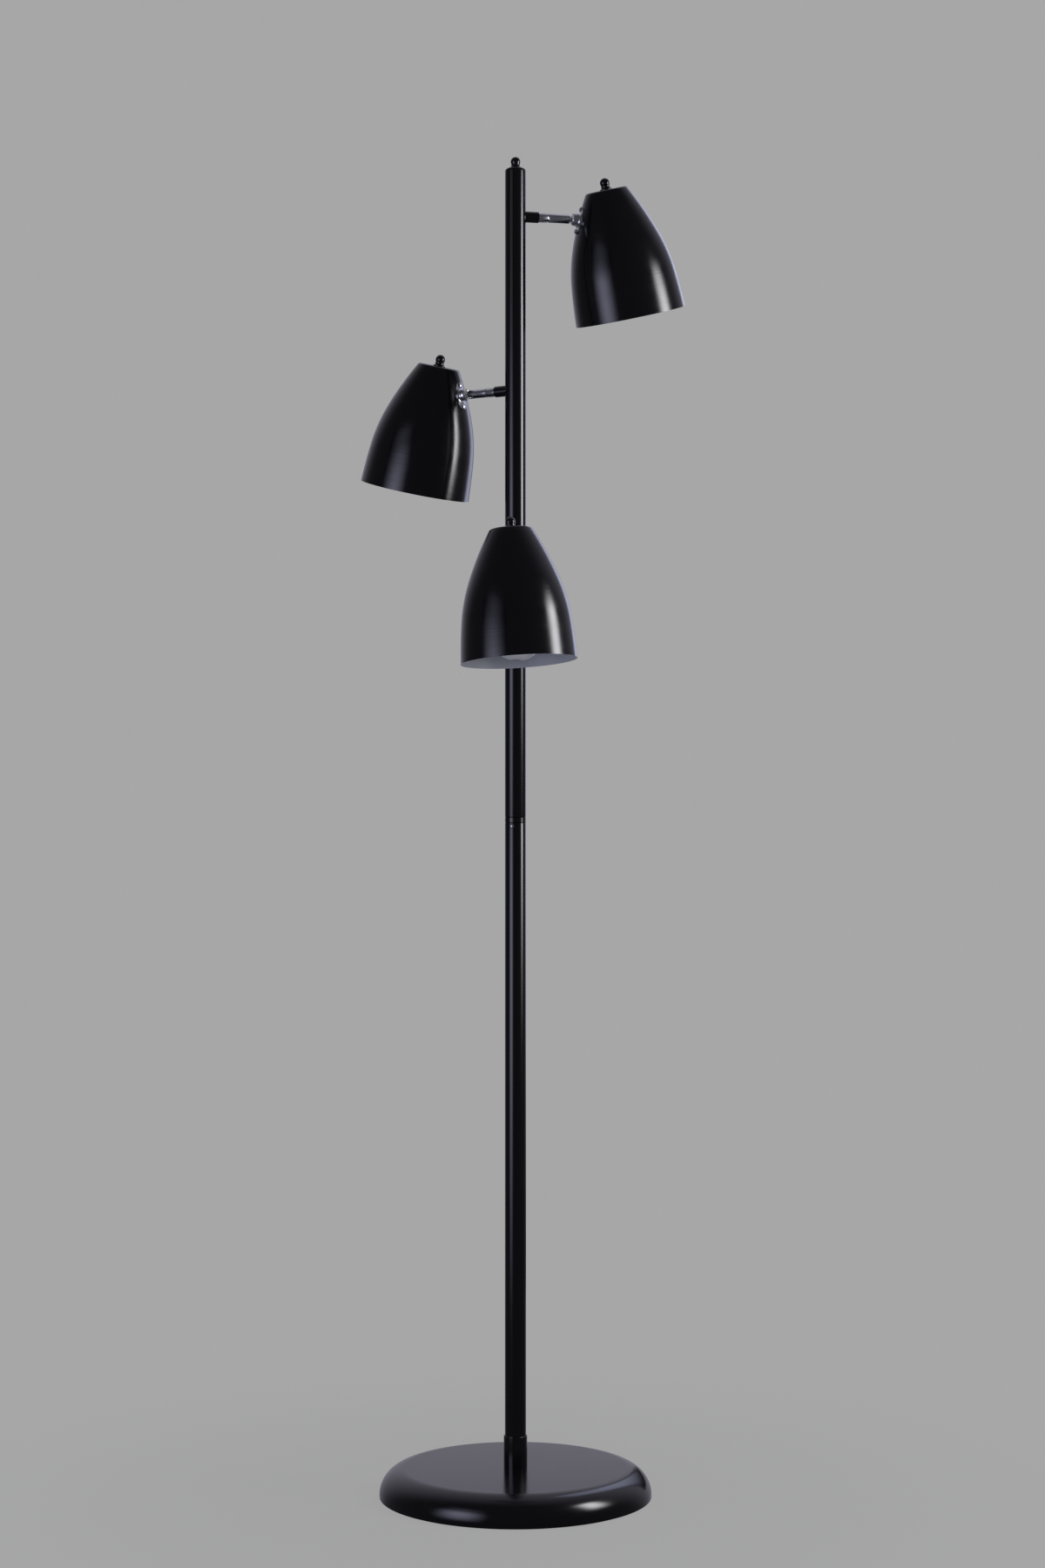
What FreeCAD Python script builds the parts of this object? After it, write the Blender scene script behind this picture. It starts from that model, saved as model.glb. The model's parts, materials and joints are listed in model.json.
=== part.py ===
"""A free-standing floor lamp with three heads on one pole, in millimetres, +Z up.

The origin is on the floor, on the pole's axis. The lamp has a weighted round base, a pole in two screwed
sections, and three short arms one above the other. Each arm ends in a small ball, and a chromed cup on the
bell-shaped shade grips the ball, so that the head can be aimed.
"""

import FreeCAD, Part
import math
import os

from FreeCAD import Placement, Rotation, Vector

os.makedirs("parts", exist_ok=True)

# ---------------------------------------------------------------- clearances
thread_clearance = 0.05        # radial, between a screwed pair drawn as plain cylinders
slip_clearance = 0.05          # radial, between a plug and its tube
running_clearance = 0.05       # radial, between pieces that turn on each other
face_gap = 0.2                 # axial, between two faces that turn past each other
paint_gap = 0.05               # between a plate and the painted sheet it lies on
overcut = 1.5                  # how far a cut runs past the face it opens

# ---------------------------------------------------------------- base
base_radius = 141.4
base_height = 30.0             # floor to the flat top of the cover
cover_skirt_height = 3.0       # floor to where the big rolled edge begins
cover_wall = 1.5
cover_hem_height = 1.0         # the cover's lower edge stands this far off the floor
pad_thickness = 2.0
pad_margin = 2.9               # the pad's rim stands this far inside the cover's rim
weight_margin = 17.4           # and the weight's rim this far
weight_thickness = 10.0
weight_boss_radius = 28.0
weight_top_gap = 0.3
recess_roof_drop = 1.0         # the nut recess ends this far below the slug's top face
cord_channel_width = 9.0
cord_channel_height = 6.5
grommet_height = 10.0          # floor to the cord hole in the rear of the cover
grommet_bore = 2.8
grommet_neck = 4.2
grommet_flange = 6.5
grommet_lip = 1.5

# ---------------------------------------------------------------- pole
pole_radius = 11.0
pole_wall = 1.2
tube_end_chamfer = 0.4
lamp_joint_height = 699.7      # floor to the top of the lower tube
joint_ring_height = 6.0        # the band of the coupler that shows between the tubes
joint_ring_chamfer = 0.6
coupler_lower_plug = 30.0
coupler_upper_plug = 25.0
coupler_bore = 6.5
cap_top_height = 1384.4
cap_visible_height = 4.5
cap_shoulder_radius = 3.0
cap_plug_length = 12.0
collar_height = 33.0
collar_wall = 1.15
collar_chamfer = 0.5
insert_length = 15.0
insert_lift = 1.0              # the insert sits this far inside the tube's end

nipple_radius = 5.0            # the hollow threaded rod that clamps base and pole
nipple_bore = 3.6
nipple_tail = 1.0              # thread showing past its nut
nipple_grip = 12.0             # thread inside the tube's insert
base_nut_flats = 17.0
base_nut_thickness = 5.0
base_washer_radius = 11.0
base_washer_thickness = 1.3
nut_recess_radius = 13.0

coupler_screw_drop = 3.4       # below the top of the lower tube
coupler_screw_azimuth = 251.0
coupler_screw_radius = 1.5
coupler_screw_head_radius = 2.1
coupler_screw_head_height = 1.2
coupler_screw_length = 5.0

# ---------------------------------------------------------------- ball-topped cap nuts and their studs
finial_foot_radius = 6.5
finial_foot_height = 0.9
finial_waist_step = 0.55       # the waist is this much slimmer than the ball, on the radius
finial_flare_bow = 0.5
finial_waist_height = 3.4
finial_ball_radius = 5.15
finial_height = 12.3
finial_bore_depth = 8.5
stud_radius = 3.0
stud_nut_flats = 10.0
stud_nut_thickness = 4.0
stud_tail = 1.5

# ---------------------------------------------------------------- arms
top_arm_drop = 50.1            # top of the cap down to the highest arm
arm_spacing = 182.0
ball_reach = 64.8              # pole's axis to the ball's centre
sleeve_end = 24.3              # pole's axis to the outer face of the black sleeve
sleeve_radius = 5.75
sleeve_neck_radius = 5.0
sleeve_neck_start = 3.4
arm_spigot_radius = 3.9
arm_bore = 3.0
arm_lip_radius = 4.6           # the spigot's end, swaged out inside the pole
arm_lip_thickness = 0.8
ferrule_radius = 4.95
ferrule_length = 10.5
ferrule_groove_width = 0.6
ferrule_groove_depth = 0.35
arm_radius = 4.75
arm_end_chamfer = 1.2
locknut_flats = 13.0
locknut_thickness = 2.6

# ---------------------------------------------------------------- ball joint
ball_radius = 5.0
ball_neck_length = 1.0         # between the ball and the end of the arm's tube
ball_neck_radius = 2.4
ball_bore = 1.5
ball_shank_length = 8.0
liner_thickness = 0.6
liner_mouth_angle = 46.0       # from the arm's line to the liner's front edge
liner_rear_angle = 30.0
cup_wall = 1.0
cup_mouth_angle = 60.0         # from the cup's own axis to its mouth
cup_flare_radius = 8.4
cup_flare_height = 2.4
cup_flare_bow = 0.4
liner_to_shade = 0.25          # between the liner and the edge of the shade's wire hole
seat_lift = 0.1
seat_thickness = 2.5

# ---------------------------------------------------------------- bracket on the shade
bracket_depth = 25.7           # shade's top to the bracket's middle, along the shade's axis
bracket_width = 13.0
bracket_length = 29.0
bracket_thickness = 1.2
backing_width = 12.0
backing_length = 28.0
backing_thickness = 1.2
plate_reach = 6.0              # a bent plate lies within this distance of the plane it is cut out in
wire_hole_radius = 3.6
screw_pitch = 21.0             # between the two bracket screws, measured down the shade's axis
screw_radius = 1.5
screw_head_radius = 2.7
screw_head_height = 1.9
screw_tail = 0.9

# ---------------------------------------------------------------- shade
shade_height = 134.5
shade_wall = 0.9
shade_top_radius = 21.8        # where the cone would meet the flat top
shade_corner_radius = 3.5
# the side line is a chain of tangent arcs, set by its lean away from the shade's axis at four depths
top_lean = 29.7
shoulder_depth = 50.0
shoulder_lean = 20.7
belly_depth = 95.0
belly_lean = 5.9
rim_lean = 2.3

# ---------------------------------------------------------------- lampholder and bulb
# depths are from the shade's top
holder_neck_radius = 7.0
holder_top_gap = 0.25          # between the stud's nut and the holder's neck
stud_room_floor = 2.0          # the stud's hole in the holder ends this far above the end of the shoulder
stud_end_gap = 0.95            # between the stud's end and the bottom of that hole
holder_shoulder_depth = 9.5
holder_shoulder_end = 17.0
holder_radius = 19.5
holder_mouth_depth = 51.5
holder_skirt_step = 0.8
holder_skirt_length = 9.0
holder_cavity_depth = 26.5
shell_wall = 0.45              # the brass screw shell
shell_inset = 2.0              # the shell stops this far from both ends of the holder's cavity
cap_thread_gap = 0.3           # radial, between the bulb's cap and the shell
contact_radius = 4.0
contact_thickness = 1.4
contact_gap = 0.6              # between the centre contact and the bulb's tip
bulb_length = 105.0
bulb_radius = 30.0
bulb_cap_radius = 13.1
bulb_cap_length = 26.0
bulb_tip_radius = 4.0
bulb_tip_height = 1.0
bulb_insulator_height = 3.0
bulb_neck_radius = 13.6
bulb_neck_length = 4.0         # the glass's straight neck below the cap
bulb_glass_wall = 1.0

# ---------------------------------------------------------------- how each head stands in the photograph
# name, azimuth of the arm, outward tilt of the shade, roll about the arm, all in degrees
heads = [
    ("upper", 14.4, 14.1, 8.9),
    ("middle", 146.8, 15.2, -2.3),
    ("lower", 268.4, 3.2, 3.7),
]

# ---------------------------------------------------------------- helpers
origin = Vector(0, 0, 0)
x_axis = Vector(1, 0, 0)
y_axis = Vector(0, 1, 0)
z_axis = Vector(0, 0, 1)


def at(radius, height):
    """A point of a turned profile, in the XZ plane."""
    return Vector(radius, 0, height)


def line(start, end):
    return Part.makeLine(start, end)


def arc(start, middle, end):
    return Part.Arc(start, middle, end).toShape()


def turn(edges):
    """Turn a closed profile once round the Z axis."""
    face = Part.Face(Part.Wire(edges))
    return face.revolve(origin, z_axis, 360)


def turn_corners(corners):
    """Turn a closed profile of straight lines, given as (radius, height) corners."""
    points = [at(*corner) for corner in corners]
    return turn([line(a, b) for a, b in zip(points, points[1:] + points[:1])])


def rod(radius, bottom, top):
    return Part.makeCylinder(radius, top - bottom, Vector(0, 0, bottom))


def ring(outer, inner, bottom, top):
    return rod(outer, bottom, top).cut(rod(inner, bottom, top))


def hexagon(flats, bottom, top):
    """A hexagonal bar, measured across its flats."""
    corner = flats / math.sqrt(3)
    points = [Vector(corner * math.cos(a), corner * math.sin(a), bottom)
              for a in (math.radians(60 * step) for step in range(7))]
    return Part.Face(Part.makePolygon(points)).extrude(Vector(0, 0, top - bottom))


def hex_nut(flats, bore, bottom, top):
    return hexagon(flats, bottom, top).cut(rod(bore, bottom, top))


def moved(shape, placement):
    copy = shape.copy()
    copy.Placement = placement.multiply(copy.Placement)
    return copy


def write(name, *solids):
    shape = solids[0] if len(solids) == 1 else Part.makeCompound(list(solids))
    shape.exportStep("parts/" + name + ".step")
    print(name, "solids", len(shape.Solids), "volume", round(shape.Volume, 1))


# ---------------------------------------------------------------- base
base_edge_radius = base_height - cover_skirt_height
pad_radius = base_radius - pad_margin
weight_radius = base_radius - weight_margin
cover_edge_centre = base_radius - base_edge_radius
cover_edge_height = cover_skirt_height


def cover_profile(inset, low):
    """The filled outline of the cover, drawn in by inset from the outer skin and cut off at low."""
    bend = base_edge_radius - inset
    top = base_height - inset
    side = base_radius - inset
    half = bend * math.sqrt(0.5)
    return turn([
        line(at(0, top), at(cover_edge_centre, top)),
        arc(at(cover_edge_centre, top), at(cover_edge_centre + half, cover_edge_height + half),
            at(side, cover_edge_height)),
        line(at(side, cover_edge_height), at(side, low)),
        line(at(side, low), at(0, low)),
        line(at(0, low), at(0, top)),
    ])


grommet_rise = math.asin((grommet_height - cover_edge_height) / base_edge_radius)
grommet_place = Placement(
    Vector(0, cover_edge_centre + base_edge_radius * math.cos(grommet_rise), grommet_height),
    Rotation(x_axis, math.degrees(grommet_rise) - 90))


def base_cover():
    cover = cover_profile(0, cover_hem_height).cut(cover_profile(cover_wall, 0))
    cover = cover.cut(rod(nipple_radius + thread_clearance, 0, base_height))
    cord_hole = rod(grommet_neck + slip_clearance, -grommet_flange, grommet_flange)
    return cover.cut(moved(cord_hole, grommet_place))


def cord_grommet(cover):
    """A rubber bush: a neck through the cover between an outer and an inner lip."""
    reach = grommet_lip + cover_wall
    bush = rod(grommet_flange, -reach, grommet_lip).cut(rod(grommet_bore, -reach, grommet_lip))
    skin = cover_profile(0, 0).cut(cover_profile(cover_wall, 0))
    skin = skin.cut(moved(rod(grommet_neck, -grommet_flange, grommet_flange), grommet_place))
    bush = moved(bush, grommet_place).cut(skin)
    return max(bush.Solids, key=lambda solid: solid.Volume)


base_inner_top = base_height - cover_wall
washer_top = pad_thickness + weight_thickness - recess_roof_drop
nut_top = washer_top - base_washer_thickness
nut_bottom = nut_top - base_nut_thickness
nipple_bottom = nut_bottom - nipple_tail
nipple_top = base_height + insert_lift + nipple_grip


def base_weight():
    """A cast iron slug under the cover, with a boss that carries the pole."""
    top = base_inner_top - weight_top_gap
    slug = rod(weight_radius, pad_thickness, pad_thickness + weight_thickness)
    slug = slug.fuse(rod(weight_boss_radius, pad_thickness, top))
    slug = slug.cut(rod(nipple_radius + thread_clearance, pad_thickness, top))
    slug = slug.cut(rod(nut_recess_radius, pad_thickness, washer_top))
    channel = Part.makeBox(cord_channel_width, weight_radius, cord_channel_height,
                           Vector(-cord_channel_width / 2, 0, pad_thickness))
    return slug.cut(channel).removeSplitter()


def base_collar():
    inner = pole_radius + slip_clearance
    outer = inner + collar_wall
    top = base_height + collar_height
    return turn_corners([
        (inner, base_height), (outer, base_height), (outer, top - collar_chamfer),
        (outer - collar_chamfer, top), (inner, top)])


def lower_tube():
    inner = pole_radius - pole_wall
    top = lamp_joint_height
    return turn_corners([
        (inner, base_height), (pole_radius, base_height), (pole_radius, top - tube_end_chamfer),
        (pole_radius - tube_end_chamfer, top), (inner, top)])


def upper_tube():
    """The upper tube, with one hole in its wall for each arm's sleeve."""
    inner = pole_radius - pole_wall
    bottom = upper_tube_bottom
    tube = turn_corners([
        (inner, bottom), (pole_radius - tube_end_chamfer, bottom),
        (pole_radius, bottom + tube_end_chamfer), (pole_radius, upper_tube_top), (inner, upper_tube_top)])
    for name, azimuth, tilt, roll in heads:
        hole = rod(sleeve_neck_radius + thread_clearance, 0, pole_radius + overcut)
        tube = tube.cut(moved(hole, arm_place(name, azimuth)))
    return tube


upper_tube_bottom = lamp_joint_height + joint_ring_height
upper_tube_top = cap_top_height - cap_visible_height
plug_radius = pole_radius - pole_wall - slip_clearance
screw_height = lamp_joint_height - coupler_screw_drop
screw_place = Placement(Vector(0, 0, screw_height), Rotation(z_axis, coupler_screw_azimuth)).multiply(
    Placement(origin, Rotation(y_axis, 90)))


def pole_coupler():
    """The screwed joiner of the two tubes. Its middle band shows between them."""
    low = lamp_joint_height - coupler_lower_plug
    high = upper_tube_bottom + coupler_upper_plug
    edge = joint_ring_chamfer
    body = turn_corners([
        (coupler_bore, low), (plug_radius, low), (plug_radius, lamp_joint_height),
        (pole_radius - edge, lamp_joint_height), (pole_radius, lamp_joint_height + edge),
        (pole_radius, upper_tube_bottom - edge), (pole_radius - edge, upper_tube_bottom),
        (plug_radius, upper_tube_bottom), (plug_radius, high), (coupler_bore, high)])
    hole = rod(coupler_screw_radius + thread_clearance, coupler_bore - overcut, pole_radius)
    return body.cut(moved(hole, screw_place))


def pan_head(radius, height):
    """A screw's domed head, flat side at zero."""
    brim = height * 0.4
    rise = height - brim
    dome = (radius ** 2 + rise ** 2) / (2 * rise)
    crown = Part.makeSphere(dome, Vector(0, 0, height - dome))
    return rod(radius, 0, height).common(crown)


def coupler_screw():
    seat = pole_radius
    shank = rod(coupler_screw_radius, seat - coupler_screw_length, seat)
    head = pan_head(coupler_screw_head_radius, coupler_screw_head_height)
    head.translate(Vector(0, 0, seat))
    return moved(shank.fuse(head), screw_place)


def pole_cap():
    """A turned cap the same size as the tube, with a plug inside it."""
    top = cap_top_height
    shoulder = cap_shoulder_radius
    low = upper_tube_top - cap_plug_length
    bend = shoulder * math.sqrt(0.5)
    bore = stud_radius + thread_clearance
    return turn([
        line(at(bore, low), at(plug_radius, low)),
        line(at(plug_radius, low), at(plug_radius, upper_tube_top)),
        line(at(plug_radius, upper_tube_top), at(pole_radius, upper_tube_top)),
        line(at(pole_radius, upper_tube_top), at(pole_radius, top - shoulder)),
        arc(at(pole_radius, top - shoulder), at(pole_radius - shoulder + bend, top - shoulder + bend),
            at(pole_radius - shoulder, top)),
        line(at(pole_radius - shoulder, top), at(bore, top)),
        line(at(bore, top), at(bore, low)),
    ])


finial_waist_radius = finial_ball_radius - finial_waist_step


def finial():
    """The cap nut: a flared foot, a waist and a ball, with a blind threaded bore."""
    bore = stud_radius + thread_clearance
    ball = finial_height - finial_ball_radius
    waist_rise = math.asin(finial_waist_radius / finial_ball_radius)
    waist_top = ball - finial_ball_radius * math.cos(waist_rise)
    flare = at(finial_waist_radius + finial_flare_bow, (finial_foot_height + finial_waist_height) / 2)
    return turn([
        line(at(bore, 0), at(finial_foot_radius, 0)),
        line(at(finial_foot_radius, 0), at(finial_foot_radius, finial_foot_height)),
        arc(at(finial_foot_radius, finial_foot_height), flare, at(finial_waist_radius, finial_waist_height)),
        line(at(finial_waist_radius, finial_waist_height), at(finial_waist_radius, waist_top)),
        arc(at(finial_waist_radius, waist_top), at(finial_ball_radius, ball), at(0, finial_height)),
        line(at(0, finial_height), at(0, finial_bore_depth)),
        line(at(0, finial_bore_depth), at(bore, finial_bore_depth)),
        line(at(bore, finial_bore_depth), at(bore, 0)),
    ])


def stud_and_nut(nut_top_height, stud_low):
    """A threaded stud from the finial's bore down through a nut. Heights are from the finial's foot."""
    nut_low = nut_top_height - stud_nut_thickness
    stud = rod(stud_radius, stud_low, finial_bore_depth - face_gap)
    nut = hex_nut(stud_nut_flats, stud_radius + thread_clearance, nut_low, nut_top_height)
    return stud, nut


# ---------------------------------------------------------------- arms
top_arm_height = cap_top_height - top_arm_drop
ball_to_arm = ball_radius + ball_neck_length
arm_heights = {name: top_arm_height - arm_spacing * step for step, (name, *_) in enumerate(heads)}
arm_end = ball_reach - ball_to_arm


def arm_place(name, azimuth):
    """Stands the Z axis of a turned piece along the arm, from the pole's axis outwards."""
    lift = Placement(Vector(0, 0, arm_heights[name]), Rotation(z_axis, azimuth))
    return lift.multiply(Placement(origin, Rotation(y_axis, 90)))


def arm_sleeve(name, azimuth):
    """The black bush on the pole. Its foot is hollowed to the pole and its threaded neck goes inside."""
    barrel = rod(sleeve_radius, 0, sleeve_end)
    neck = rod(sleeve_neck_radius, sleeve_neck_start, pole_radius + overcut)
    bore = rod(arm_spigot_radius + running_clearance, 0, sleeve_end)
    place = arm_place(name, azimuth)
    pole = rod(pole_radius, upper_tube_bottom, cap_top_height)
    return moved(barrel, place).cut(pole).fuse(moved(neck, place)).cut(moved(bore, place))


def arm_locknut(name, azimuth):
    """The nut inside the pole, pushed outwards until its corners meet the tube's wall."""
    corner = locknut_flats / math.sqrt(3)
    face = math.sqrt((pole_radius - pole_wall) ** 2 - corner ** 2) - paint_gap
    nut = hex_nut(locknut_flats, sleeve_neck_radius + thread_clearance, face - locknut_thickness, face)
    return moved(nut, arm_place(name, azimuth))


def arm_tube(name, azimuth):
    """The chromed arm: a spigot that turns in the sleeve, a ferrule, a fine groove and the long barrel."""
    lip_start = sleeve_neck_start - face_gap - arm_lip_thickness
    ferrule_start = sleeve_end + face_gap
    groove = ferrule_start + ferrule_length
    body = turn_corners([
        (arm_bore, lip_start), (arm_lip_radius, lip_start),
        (arm_lip_radius, lip_start + arm_lip_thickness), (arm_spigot_radius, lip_start + arm_lip_thickness),
        (arm_spigot_radius, ferrule_start), (ferrule_radius, ferrule_start),
        (ferrule_radius, groove), (arm_radius - ferrule_groove_depth, groove),
        (arm_radius - ferrule_groove_depth, groove + ferrule_groove_width),
        (arm_radius, groove + ferrule_groove_width), (arm_radius, arm_end - arm_end_chamfer),
        (arm_radius - arm_end_chamfer, arm_end), (arm_bore, arm_end)])
    return moved(body, arm_place(name, azimuth))


def ball_stud(name, azimuth):
    """The hollow ball on its neck, screwed into the arm's end. The wires pass through it."""
    shank = rod(arm_bore - thread_clearance, arm_end - ball_shank_length, arm_end)
    neck = rod(ball_neck_radius, arm_end, ball_reach)
    ball = Part.makeSphere(ball_radius, Vector(0, 0, ball_reach))
    bore = rod(ball_bore, arm_end - ball_shank_length, ball_reach + ball_radius)
    return moved(shank.fuse([neck, ball]).cut(bore), arm_place(name, azimuth))


liner_inner = ball_radius + running_clearance
liner_outer = liner_inner + liner_thickness
cup_inner = liner_outer + running_clearance
# shade's outer surface to the ball's centre: the liner's back clears the edge of the wire hole
ball_standoff = math.sqrt(liner_outer ** 2 - wire_hole_radius ** 2) + liner_to_shade


def on_circle(radius, angle):
    """A point of a circle round the origin, its angle taken down from +Z in degrees."""
    return at(radius * math.sin(math.radians(angle)), radius * math.cos(math.radians(angle)))


def ball_liner():
    """The nylon liner between ball and cup, open in front for the neck and behind for the wires."""
    front = liner_mouth_angle
    rear = 180 - liner_rear_angle
    middle = (front + rear) / 2
    return turn([
        arc(on_circle(liner_inner, front), on_circle(liner_inner, middle), on_circle(liner_inner, rear)),
        line(on_circle(liner_inner, rear), on_circle(liner_outer, rear)),
        arc(on_circle(liner_outer, rear), on_circle(liner_outer, middle), on_circle(liner_outer, front)),
        line(on_circle(liner_outer, front), on_circle(liner_inner, front)),
    ])


# ---------------------------------------------------------------- shade, top face at zero
def direction(lean):
    """The outward square of a side line that leans away from the axis, in degrees."""
    return at(math.cos(math.radians(lean)), math.sin(math.radians(lean)))


def side_arcs():
    """The arcs of the bell's side line, each as its centre, its radius and its first and last lean."""
    stations = [(0, top_lean), (shoulder_depth, shoulder_lean), (belly_depth, belly_lean),
                (shade_height, rim_lean)]
    arcs = []
    point = at(shade_top_radius, 0)
    for (start, first), (end, last) in zip(stations, stations[1:]):
        bend = (end - start) / (math.sin(math.radians(first)) - math.sin(math.radians(last)))
        centre = point - direction(first) * bend
        arcs.append((centre, bend, first, last))
        point = centre + direction(last) * bend
    return arcs


bell_sides = side_arcs()
shade_rim_radius = (bell_sides[-1][0] + direction(rim_lean) * bell_sides[-1][1]).x


def bell(offset, corner=0.0):
    """The bell's filled shape, its skin moved outwards by offset, its top edge rounded by corner."""
    sides = []
    for centre, bend, first, last in bell_sides:
        start, middle, end = [centre + direction(lean) * (bend + offset)
                              for lean in (first, (first + last) / 2, last)]
        sides.append(arc(start, middle, end))
        if not sides[1:]:
            top_point = start
    over = shade_corner_radius + overcut
    above = top_point + at(-math.tan(math.radians(top_lean)), 1) * over
    below = end + at(math.tan(math.radians(rim_lean)), -1) * over
    solid = turn([line(at(0, above.z), above), line(above, top_point), *sides, line(end, below),
                  line(below, at(0, below.z)), line(at(0, below.z), at(0, above.z))])
    top = min(offset, 0.0)
    low = -shade_height - (overcut if offset < 0 else 0.0)
    solid = solid.common(rod(2 * shade_rim_radius, low, top))
    return solid.makeFillet(corner, top_edges(solid, top)) if corner else solid


def top_edges(solid, height):
    return [edge for edge in solid.Edges
            if edge.BoundBox.ZMin > height - 0.01 and edge.BoundBox.XMax > shade_top_radius / 2]


def wall_frame(depth):
    """Stands a piece's Z axis on the shade's outer wall, on the side that faces the pole."""
    for centre, bend, first, last in bell_sides:
        lean = math.degrees(math.asin((-depth - centre.z) / bend))
        if lean >= last:
            break
    point = centre + direction(lean) * bend
    return Placement(Vector(-point.x, 0, point.z), Rotation(y_axis, lean - 90))


bracket_frame = wall_frame(bracket_depth)
ball_frame = bracket_frame.multiply(Placement(Vector(0, 0, ball_standoff), Rotation()))
screw_frames = [wall_frame(bracket_depth + side * screw_pitch / 2) for side in (-1, 1)]


def stadium(length, width, low, high):
    """A bar with round ends, long along X."""
    straight = length - width
    bar = Part.makeBox(straight, width, high - low, Vector(-straight / 2, -width / 2, low))
    ends = [rod(width / 2, low, high).translated(Vector(side * straight / 2, 0, 0)) for side in (-1, 1)]
    return bar.fuse(ends).removeSplitter()


def screw_holes(low, high):
    hole = rod(screw_radius + thread_clearance, low, high)
    return [moved(hole, frame) for frame in screw_frames]


def shade():
    """The spun bell, with holes for its stud, its wires and its bracket's screws."""
    skin = bell(0, shade_corner_radius).cut(bell(-shade_wall, shade_corner_radius - shade_wall))
    low = -shade_wall - overcut
    skin = skin.cut(rod(stud_radius + thread_clearance, low, overcut))
    skin = skin.cut(moved(rod(wire_hole_radius, low, overcut), bracket_frame))
    return skin.cut(screw_holes(low, overcut))


def plate(length, width, inside, outside):
    """A plate bent to the bell, between two offsets of its skin."""
    sheet = bell(outside).cut(bell(inside))
    return sheet.common(moved(stadium(length, width, -plate_reach, plate_reach), bracket_frame))


def bracket():
    """The chromed bracket: a bent plate with the flared cup that holds the ball."""
    body = plate(bracket_length, bracket_width, paint_gap, paint_gap + bracket_thickness)
    outer = cup_inner + cup_wall
    flare_top = bracket_thickness + cup_flare_height - ball_standoff
    mouth = cup_mouth_angle
    foot = -ball_standoff - overcut
    cup = turn([
        line(at(0, foot), at(cup_flare_radius, foot)),
        line(at(cup_flare_radius, foot), at(cup_flare_radius, bracket_thickness - ball_standoff)),
        arc(at(cup_flare_radius, bracket_thickness - ball_standoff),
            at(outer + cup_flare_bow, flare_top - cup_flare_height * 0.7), at(outer, flare_top)),
        line(at(outer, flare_top), at(outer, 0)),
        arc(at(outer, 0), on_circle(outer, (90 + mouth) / 2), on_circle(outer, mouth)),
        line(on_circle(outer, mouth), on_circle(cup_inner, mouth)),
        line(on_circle(cup_inner, mouth), at(0, cup_inner * math.cos(math.radians(mouth)))),
        line(at(0, cup_inner * math.cos(math.radians(mouth))), at(0, foot)),
    ])
    well = rod(cup_inner, -2 * ball_standoff, 0).fuse(Part.makeSphere(cup_inner))
    cup = moved(cup, ball_frame).cut(bell(paint_gap))
    body = body.fuse(cup).cut(moved(well, ball_frame)).cut(screw_holes(-plate_reach, plate_reach))
    return body.removeSplitter()


def ball_seat():
    """The ring behind the liner, hollowed to the same sphere."""
    disc = rod(cup_inner - slip_clearance, seat_lift - ball_standoff,
               seat_lift + seat_thickness - ball_standoff)
    return moved(disc.cut(Part.makeSphere(cup_inner)), ball_frame)


def bracket_screws():
    seat = paint_gap + bracket_thickness
    depth = shade_wall + paint_gap + backing_thickness + screw_tail
    head = pan_head(screw_head_radius, screw_head_height)
    head.translate(Vector(0, 0, seat))
    screw = rod(screw_radius, -depth, seat).fuse(head)
    return [moved(screw, frame) for frame in screw_frames]


def backing_plate():
    """The tapped strip inside the shade that takes the bracket's screws."""
    outside = -shade_wall - paint_gap
    strip = plate(backing_length, backing_width, outside - backing_thickness, outside)
    strip = strip.cut(moved(rod(wire_hole_radius, -plate_reach, plate_reach), bracket_frame))
    return strip.cut(screw_holes(-plate_reach, plate_reach))


holder_neck_depth = shade_wall + paint_gap + stud_nut_thickness + holder_top_gap
stud_room_depth = holder_shoulder_end - stud_room_floor
shell_radius = bulb_cap_radius + cap_thread_gap + shell_wall
bulb_seat_depth = holder_cavity_depth + contact_thickness + contact_gap


def lampholder():
    """The moulded holder: a threaded neck, a shoulder and a round body that is open below."""
    thread = stud_radius + thread_clearance
    step = -holder_mouth_depth + holder_skirt_length
    mouth = shell_radius + slip_clearance
    return turn_corners([
        (thread, -holder_neck_depth), (holder_neck_radius, -holder_neck_depth),
        (holder_neck_radius, -holder_shoulder_depth), (holder_radius, -holder_shoulder_end),
        (holder_radius, step), (holder_radius - holder_skirt_step, step),
        (holder_radius - holder_skirt_step, -holder_mouth_depth), (mouth, -holder_mouth_depth),
        (mouth, -holder_cavity_depth), (0, -holder_cavity_depth), (0, -stud_room_depth),
        (thread, -stud_room_depth)])


def holder_contacts():
    """The brass screw shell and the centre contact above it."""
    shell_low = shell_inset - holder_mouth_depth
    shell = ring(shell_radius, shell_radius - shell_wall, shell_low, -holder_cavity_depth - shell_inset)
    contact = rod(contact_radius, -holder_cavity_depth - contact_thickness, -holder_cavity_depth)
    return shell, contact


def bulb_cap():
    """The bulb's metal cap with its insulator and centre tip."""
    top = -bulb_seat_depth
    insulator = top - bulb_tip_height
    shoulder = insulator - bulb_insulator_height
    low = top - bulb_cap_length
    return turn_corners([
        (0, top), (bulb_tip_radius, top), (bulb_tip_radius, insulator),
        (bulb_cap_radius * 0.7, insulator), (bulb_cap_radius, shoulder), (bulb_cap_radius, low), (0, low)])


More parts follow.
